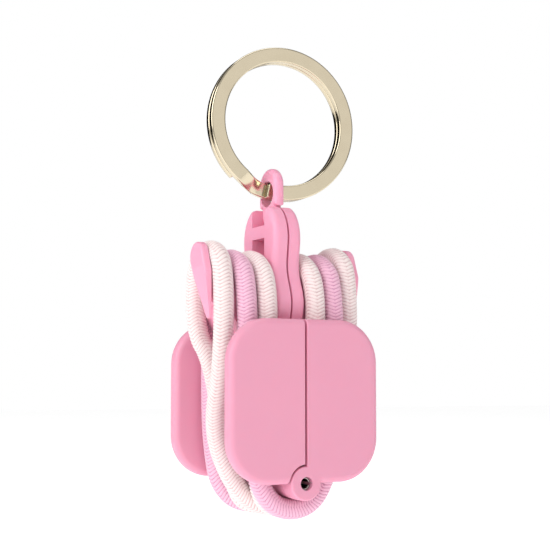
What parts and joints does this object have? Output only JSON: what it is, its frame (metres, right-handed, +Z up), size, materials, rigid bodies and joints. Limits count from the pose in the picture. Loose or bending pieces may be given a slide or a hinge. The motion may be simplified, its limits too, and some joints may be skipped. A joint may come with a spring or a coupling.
{
  "type": "clicker trainer",
  "caption": "Hinged clicker on a split ring: two moulded halves with cleat arms and rounded square plates, wound with braided elastic cord.",
  "frame": {"origin": "the point inside the split ring where a hook bears, above the middle of the body", "axes": "+Z up along the hanging body, -Y out of the front plates, +X to the right seen from the front"},
  "size_m": [0.0336, 0.027, 0.0903],
  "materials": {
    "moulded_body": "satin moulded ABS",
    "moulded_plate": "fine satin moulded ABS",
    "nickel_plate": "polished nickel plate on steel",
    "spring_steel": "bright rolled spring steel",
    "crimp_metal": "satin nickel plated brass",
    "nylon": "natural nylon",
    "white_braid": "braided polyester over elastic",
    "pink_braid": "braided polyester over elastic"
  },
  "bodies": {
    "ring": {"split_ring": "nickel_plate"},
    "right_half": {"right_frame": "moulded_body", "right_front_plate": "moulded_plate", "right_back_plate": "moulded_plate", "right_plate_pegs": "moulded_body", "ring_lug": "moulded_body", "lug_dowel": "spring_steel", "hinge_pin": "spring_steel", "hinge_washers": "nylon", "closing_spring": "spring_steel", "click_reed": "spring_steel", "reed_rivets": "spring_steel", "reed_cover": "moulded_body", "right_cord_ferrule": "crimp_metal", "white_inner_cord": "white_braid", "white_outer_cord": "white_braid", "pink_cord": "pink_braid", "white_cord_sleeve": "crimp_metal", "pink_cord_sleeve": "crimp_metal"},
    "left_half": {"left_frame": "moulded_body", "left_front_plate": "moulded_plate", "left_back_plate": "moulded_plate", "left_plate_pegs": "moulded_body", "striker_pin": "spring_steel", "left_cord_ferrule": "crimp_metal"}
  },
  "joints": [
    {"name": "body_swing", "type": "hinge", "parent": "ring", "child": "right_half", "pos_m": [0, 0, -0.02578], "axis": [1, 0, 0], "range_deg": [-120, 120]},
    {"name": "halves_open", "type": "hinge", "parent": "right_half", "child": "left_half", "pos_m": [0, 0, -0.08028], "axis": [0, -1, 0], "range_deg": [0, 25], "stiffness_Nm_per_rad": 0.01, "springref_deg": -34.38, "deforming": ["white_inner_cord", "white_outer_cord", "pink_cord", "closing_spring"]}
  ]
}
